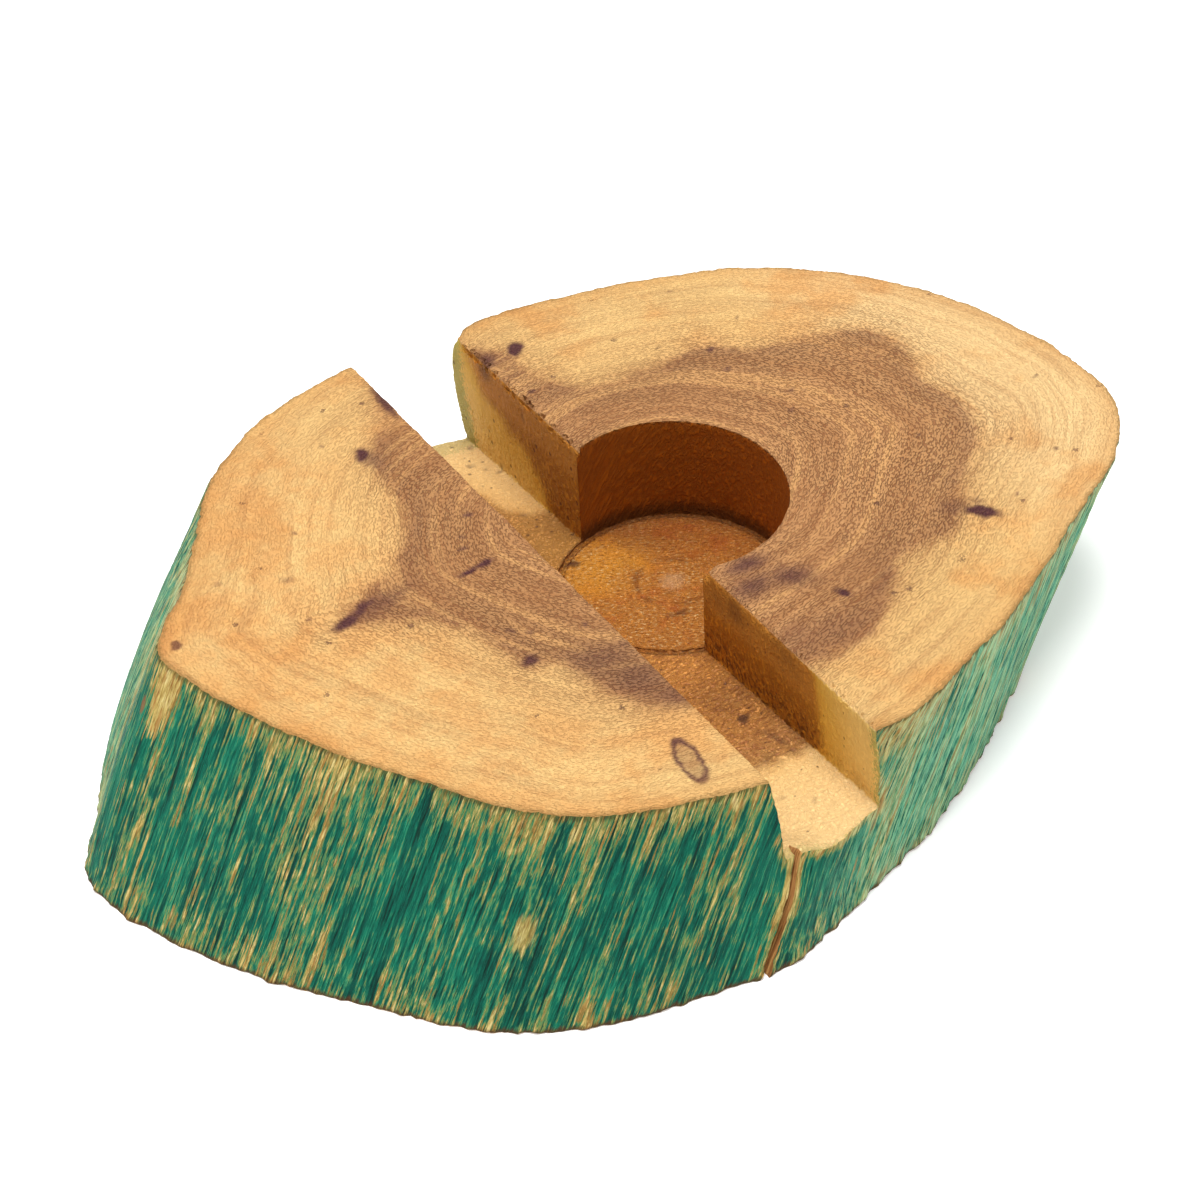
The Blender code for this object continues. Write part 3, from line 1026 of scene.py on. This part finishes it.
def cut_figure(n, w):
    """The heartwood and sapwood under tufts of fibre, strokes on the slot's floor and ring lines."""
    share = 0.5 + w.upright * 0.3
    w.tuft = n.step(w.streaks * share + w.fuzz * (1.0 - share), 0.42, 0.60)
    strokes = n.noise(n.scaled(w.grain, (0.6, 1.9, 0)), 1.0, 3, 0.6, 0.3)
    stroked = w.level * w.slot * (w.brown * 0.36 + 0.10)
    line = n.noise(n.join(w.ring, w.x * 0.03, w.y * 0.03), 1.2, 3, 0.62)
    return n.coats(
        n.ramp(w.edge, CUT_STOPS),
        ((1.0 - w.tuft) * (w.brown * 0.30 + 0.12), TUFT_GAP),
        (n.step(strokes, 0.50, 0.38) * stroked, DARK_STROKE),
        (n.step(strokes, 0.54, 0.66) * stroked * 0.6, LIGHT_STROKE),
        (n.step(line, 0.5, 0.7) * (w.brown * 0.24 + 0.06), CUT_RING_LINE),
    )


def bored_floor(n, w, colour):
    """The recess's floor: red and golden patches, sweeps of the cutter, painted shade towards the back
    right, painted glints, dark grit, a dark ring of painted shade and a pale painted highlight on the
    centre boss.
    """
    glow = n.step(n.away(w.flat, GLOW_CENTRE, (0.10, 0.12, 0)) + (w.gold - 0.5) * 2.0, 1.1, 0.3)
    # Painted shade: the floor darker towards the back right, partly shade of the recess's wall and partly
    # the floor's own darker tone.
    shade = n.step(w.x * 0.8 + w.y * 0.6, 13, 24)
    w.grit = n.noise(n.join(w.x * 0.42 - w.y * 0.27, w.x * 0.66 + w.y * 1.02, 0.0), 2.3, 3, 0.7)
    # Painted glints: bright flecks that stand in for light glancing off the fibres, fewer in the painted
    # shade.
    painted_glint = n.step(w.grit, 0.55, 0.64) * n.step(w.gold + w.fuzz, 0.86, 1.10) * (1.0 - shade * 0.6)
    w.turned = n.noise(n.join(w.out, w.x * 0.22, w.y * 0.22), 1.5, 2, 0.6)
    # A dark ring of painted shade along the shallow ring groove round the boss, broken in places.
    boss = n.step(abs(w.out - BOSS_RING), 1.1, 0.2) * n.step(w.turned + w.gold, 0.88, 1.12)
    # A pale painted highlight on the top of the centre boss.
    boss_highlight = n.step(w.out + (w.fuzz - 0.5) * 3.0, 2.8, 0.8)
    return n.coats(
        n.tint(w.dish, colour, BORED_TINT),
        (w.dish * n.step(w.gold, 0.52, 0.30) * 0.5, BORED_RED),
        (w.dish * glow * 0.62, BORED_GLOW),
        (w.dish * shade * 0.40, BORED_SHADE),
        (w.dish * painted_glint * 0.75, PAINTED_GLINT),
        (w.dish * n.step(w.grit, 0.47, 0.38) * 0.55, GRIT_GAP),
        (boss * 0.5, BOSS_RING_SHADE),
        (boss_highlight * 0.42, BOSS_HIGHLIGHT),
    )


def cut_walls(n, w, colour):
    """Ochre walls, darkened by painted shade and more deeply in the recess, and smooth along the upper part
    of the slot.
    """
    # Painted shade: the walls darker and more saturated than the floors, more so towards the heartwood.
    colour = n.tint(w.upright * (n.step(w.edge, -12, 0) * 0.45 + 0.55), colour, WALL_SHADE)
    # Painted shade in the recess: its wall coated orange-brown, then darkened strongly.
    colour = n.tint(w.hollow, n.coats(colour, (w.hollow * 0.4, RECESS_WALL)), RECESS_WALL_SHADE)
    smooth = w.upright * w.slot * n.step(w.depth + (w.fuzz - 0.5) * 2.0, 7.5, 4.5) * w.brown
    return n.coats(colour, (smooth * 0.7, SMOOTH_WALL))


def feet_and_groove(n, w, colour):
    """The slot's floor behind the recess, the torn feet of the slot's walls, a dark band at the foot of the
    recess's wall, and painted shade in the cutter's rim groove.
    """
    golden = w.level * w.behind * (n.step(w.y, 46, 18) * 0.55 + 0.20)
    fibres = n.streaks(w.grain, 1.3, 0.12, 2, 0.5)
    foot = w.upright * w.slot * n.step(w.depth + (w.streaks - 0.5) * 9.0, 6.5, 12.0)
    w.torn = foot * n.step(fibres, 0.52, 0.40)
    ragged = w.z + (w.streaks - 0.5) * 2.4
    groove = n.step(abs(w.out - (w.radius - 0.2)), 0.8, 0.3) * w.level
    return n.coats(
        colour,
        (golden, BACK_FLOOR),
        (w.torn * (w.brown * 0.45 + 0.14) * (1.0 - w.behind * 0.7), TORN_FOOT),
        (w.hollow * n.step(ragged, 16.4, 13.9) * 0.6, RECESS_FOOT),
        # Painted shade in the cutter's rim groove.
        (groove * n.step(w.fuzz, 0.36, 0.54) * 0.62, GROOVE_SHADE),
    )


def skin_and_knots(n, w, colour):
    """The stain where the cuts come out through the side, the knots and a scatter of specks."""
    skin = n.step(w.bark + (w.fuzz - 0.5) * 9.0 - w.upright * 0.8, 1.6, 0.4)
    speck_field = n.cells(n.scaled(w.grain, (1, 1, 0.5)), 0.42) + (w.fuzz - 0.5) * 0.3
    specks = n.step(speck_field - w.behind * 0.04, 0.11, 0.05) * 0.6 * w.slot
    w.dark = n.math("MAXIMUM", w.knots * 0.85, specks)
    return n.coats(colour, (skin * (w.upright * 0.25 + 0.35), STAINED_SKIN), (w.dark, CUT_KNOT_TONE))


def cut_grain(name, radius):
    """The routed slot and the bored recess, of this radius: the same figure, fuzzier and more saturated."""
    n = Nodes(name)
    w = cut_wires(n, radius)
    colour = cut_figure(n, w)
    for layer in (bored_floor, cut_walls, feet_and_groove, skin_and_knots):
        colour = layer(n, w, colour)
    height = w.tuft * (0.35 + w.brown * 0.45) + w.fuzz * (0.5 + w.brown * 0.3)
    height = height - w.dark * 0.3 - w.torn * 0.5
    height = height + (w.grit * 2.6 + w.turned * 0.5) * w.dish
    roughness = 0.34 + w.fuzz * 0.22 + w.upright * 0.25 - w.dish * 0.08
    return n.finish(colour, roughness, height, 0.28, 0.5 - w.upright * 0.35)


# Tones of the stained side
GREEN_STOPS = (
    (0.40, (0, 62, 52)), (0.46, (2, 92, 74)), (0.51, (8, 114, 88)), (0.555, (36, 140, 106)),
    (0.61, (104, 180, 136)),
)
BARE_STOPS = (
    (0.36, (150, 110, 48)), (0.45, (188, 156, 82)), (0.54, (216, 190, 112)), (0.66, (232, 212, 146)),
)
THIN_GREEN = (92, 156, 96)
OLIVE = (140, 150, 76)
SUNLIT_GREEN = (148, 238, 194)
RED_BROWN = (166, 104, 42)
FURROW = (10, 48, 36)
# The stain's darker margin under the rim, deepened as painted shade
UPPER_MARGIN_AND_SHADE = (84, 74, 30)
LOWER_EDGE = (96, 58, 26)
SIDE_KNOT_TONE = (150, 98, 52)
# Places on the side, in figure coordinates with the height
SIDE_KNOT = (-77.4, 11.0, 22.5)
BARE_SCAR = (-45.3, -46.5, 12.0)
BARE_CORNER = (-76.4, 7.6, 26.0)
SLOT_CORNER = (1.5, -55.0, 25.0)


def side_wires(n):
    """The values from which the stained side is drawn, with streaks of several finenesses."""
    grain = n.stored("grain")
    x, y, z = n.split(grain)
    w = SimpleNamespace(grain=grain, z=z)
    w.depth, w.edge_gap, w.rise = n.split(n.stored("place"))
    w.long = n.streaks(grain, 0.5, 0.05, 4)
    w.lines = n.streaks(grain, 2.3, 0.08, 3, 0.55)
    w.fine = n.streaks(grain, 2.0, 0.24, 3, 0.6, 0.3)
    w.hair = n.streaks(grain, 4.4, 0.55, 3, 0.6, 0.3)
    w.blot = n.streaks(grain, 0.10, 0.08)
    w.broken = n.streaks(grain, 1.4, 0.60, 3, 0.65)
    w.flank = n.step(y, 12, 20) * n.step(x, -52, -64)
    w.far = n.math("MAXIMUM", n.step(x, -11, 16) * n.step(y, 34, 22), w.flank)
    w.bare = n.ramp(w.hair * 0.6 + w.broken * 0.4, BARE_STOPS)
    w.wear = side_wear(n, w)
    w.rubbed = n.step(w.wear, 0.775, 0.845)
    return w


def side_wear(n, w):
    """How far the stain is rubbed away: more on ridges, near the sawn faces and at two corners."""
    wear = w.lines * 0.30 + w.fine * 0.36 + w.long * 0.14 + w.broken * 0.20
    wear = wear + w.blot * 0.20 + w.hair * 0.16 + w.rise * 0.18 + 0.044
    ends = n.step(w.z, 7, 0) + n.step(w.depth, 6, 0.5) * 2.1 + w.far * 1.1
    low_edge = n.step(w.edge_gap, 1.9, 0.5) * n.step(w.depth, 6, 9) * n.step(w.z, 4, 8)
    wear = wear + ends * 0.035 + low_edge * 0.12
    corner = n.away(w.grain, BARE_CORNER, (0.50, 0.50, 0.17)) + (w.fine - 0.5) * 1.8
    beside_slot = n.away(w.grain, SLOT_CORNER, (0.25, 0.25, 0.16)) + (w.fine - 0.5) * 1.8
    return wear + n.step(corner, 1.2, 0.9) * 0.25 + n.step(beside_slot, 1.1, 0.6) * 0.10


def stain(n, w):
    """Green, thinner and then gone as the wear grows, with red-brown edges and dark furrows."""
    green = n.coats(
        n.ramp(w.lines * 0.32 + w.fine * 0.2 + w.long * 0.30 + w.hair * 0.18, GREEN_STOPS),
        (n.step(w.wear, 0.715, 0.77) * 0.6, THIN_GREEN),
        (n.step(w.wear, 0.75, 0.79) * 0.7, OLIVE),
    )
    paler = (w.far * 0.6 - w.flank * 0.2) * n.step(w.fine * 0.6 + w.broken * 0.4, 0.36, 0.60)
    brown = n.step(n.streaks(w.grain, 1.9, 0.22), 0.51, 0.61)
    furrow = n.step(w.hair * 0.35 + w.lines * 0.65, 0.43, 0.34)
    return n.coats(
        n.mix(w.rubbed, green, w.bare),
        (paler, SUNLIT_GREEN),
        (brown * n.step(w.wear, 0.735, 0.80) * 0.6, RED_BROWN),
        (furrow * (0.8 - w.rubbed * 0.3), FURROW),
    )


def stained_side(name):
    """The debarked outside: green stain in the furrows, rubbed through to bare wood on the ridges."""
    n = Nodes(name)
    w = side_wires(n)
    # A thin dark olive line just below the sawn top: the stain's darker margin, deepened as painted shade
    # under the rim.
    upper = n.step(w.depth + (w.fine - 0.5) * 3.0, 0.7, 0.1)
    lower = n.step(w.z + (w.fine - 0.5) * 1.6, 0.8, 0.2)
    knot = n.away(w.grain, SIDE_KNOT, (1.3, 1.3, 0.8)) + (w.hair - 0.5) * 0.8
    scar = n.away(w.grain, BARE_SCAR, (0.8, 0.8, 0.5)) + (w.fine - 0.5) * 2.2
    colour = n.coats(
        stain(n, w),
        (upper * 0.7, UPPER_MARGIN_AND_SHADE),
        (lower * 0.8, LOWER_EDGE),
        (n.step(knot, 1.1, 0.7) * 0.8, SIDE_KNOT_TONE),
    )
    colour = n.mix(n.step(scar, 1.3, 0.8) * 0.8, colour, w.bare)
    height = w.lines * 1.3 + w.fine * 0.5 + w.hair * 0.6 + w.broken * 0.2 + w.rubbed * 0.1
    return n.finish(colour, 0.60 + w.hair * 0.25, height, 0.75, 0.18)


CHECK_STOPS = ((0.35, (112, 70, 30)), (0.48, (160, 108, 54)), (0.60, (198, 150, 86)))


def check_wood(name):
    """The bare torn wood inside the drying check."""
    n = Nodes(name)
    streaks = n.streaks(n.stored("grain"), 2.2, 0.12, 4, 0.62)
    colour = n.ramp(streaks, CHECK_STOPS)
    return n.finish(colour, 0.6 + streaks * 0.2, streaks, 0.25)


# The stage
FLOOR_HALF = 3.0  # metres
FLOOR_LEVEL = -0.05 * MM
FLOOR_GLOW = 0.28
SKY_STRENGTH = 0.56
LIGHTS = (  # name, place, size in metres and power in watts
    ("overhead", (0.0, -0.03, 0.90), 0.45, 7.7),
    ("key", (-0.35, 0.50, 0.80), 0.35, 1.8),
)
CAMERA_PLACE = (-0.1811, -0.2814, 0.2678)
CAMERA_TURN = (0.9140, 0.0442, -0.5727)
LENS, SENSOR_WIDTH = 84, 36


def stage_floor():
    """A wide pale floor just below the base. It glows a little, so that shadows on it stay faint.

    It can't be seen from below, so the base stays in view there.
    """
    data = bpy.data.meshes.new("floor")
    rim = [(FLOOR_HALF * x, FLOOR_HALF * y, FLOOR_LEVEL) for x, y in ((-1, -1), (1, -1), (1, 1), (-1, 1))]
    data.from_pydata(rim, [], [(0, 1, 2, 3)])
    floor = bpy.data.objects.new("floor", data)
    bpy.context.scene.collection.objects.link(floor)
    n = Nodes("floor_white")
    for socket, value in (
        ("Base Color", (0.9, 0.9, 0.9, 1)), ("Roughness", 0.9), ("Specular IOR Level", 0.1),
        ("Emission Color", (1, 1, 1, 1)), ("Emission Strength", FLOOR_GLOW),
    ):
        n.feed(n.surface.inputs[socket], value)
    lit = Wire(n, n.surface.outputs[0])
    below = n.add("NewGeometry", {}, "Backfacing")
    seen = n.add("MixShader", {0: below, 1: lit, 2: n.add("BsdfTransparent", {})})
    n.feed(n.tree.nodes["Material Output"].inputs["Surface"], seen)
    data.materials.append(n.material)


def area_light(name, place, aim, size, power):
    data = bpy.data.lights.new(name, "AREA")
    data.shape = "DISK"
    data.size = size
    data.energy = power
    lamp = bpy.data.objects.new(name, data)
    lamp.location = place
    lamp.rotation_euler = (Vector(place) - Vector(aim)).to_track_quat("Z", "Y").to_euler()
    bpy.context.scene.collection.objects.link(lamp)


def studio(middle):
    """A broad soft light overhead, a weaker one behind on the left, and dim white surroundings.

    The lights are aimed at the middle.
    """
    world = bpy.data.worlds.new("studio")
    world.use_nodes = True
    background = world.node_tree.nodes["Background"]
    background.inputs["Color"].default_value = (1, 1, 1, 1)
    background.inputs["Strength"].default_value = SKY_STRENGTH
    bpy.context.scene.world = world
    for name, place, size, power in LIGHTS:
        area_light(name, place, middle, size, power)
    bpy.context.scene.view_settings.view_transform = "Standard"


def photo_camera():
    data = bpy.data.cameras.new("camera")
    data.lens = LENS
    data.sensor_width = SENSOR_WIDTH
    data.clip_start = 0.01
    camera = bpy.data.objects.new("camera", data)
    camera.location = CAMERA_PLACE
    camera.rotation_euler = Euler(CAMERA_TURN)
    bpy.context.scene.collection.objects.link(camera)
    bpy.context.scene.camera = camera


def corners(box):
    return [[float(c) for c in corner] for corner in box]


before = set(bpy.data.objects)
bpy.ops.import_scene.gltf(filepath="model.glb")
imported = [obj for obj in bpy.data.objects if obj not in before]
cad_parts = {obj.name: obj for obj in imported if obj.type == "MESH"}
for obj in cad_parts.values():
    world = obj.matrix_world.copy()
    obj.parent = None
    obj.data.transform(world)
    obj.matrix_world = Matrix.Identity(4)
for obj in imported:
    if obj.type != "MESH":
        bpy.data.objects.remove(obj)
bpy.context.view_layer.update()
low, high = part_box(NODE)
wood, found = build_block(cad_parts[NODE])
for material in (
    end_grain("end_grain"), cut_grain("cut_grain", found.radius / MM), stained_side("stained_side"),
    end_grain("sawn_base"), check_wood("check_wood"),
):
    wood.data.materials.append(material)
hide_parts(NODE)
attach(wood, "root")
stage_floor()
studio((low + high) / 2)
photo_camera()
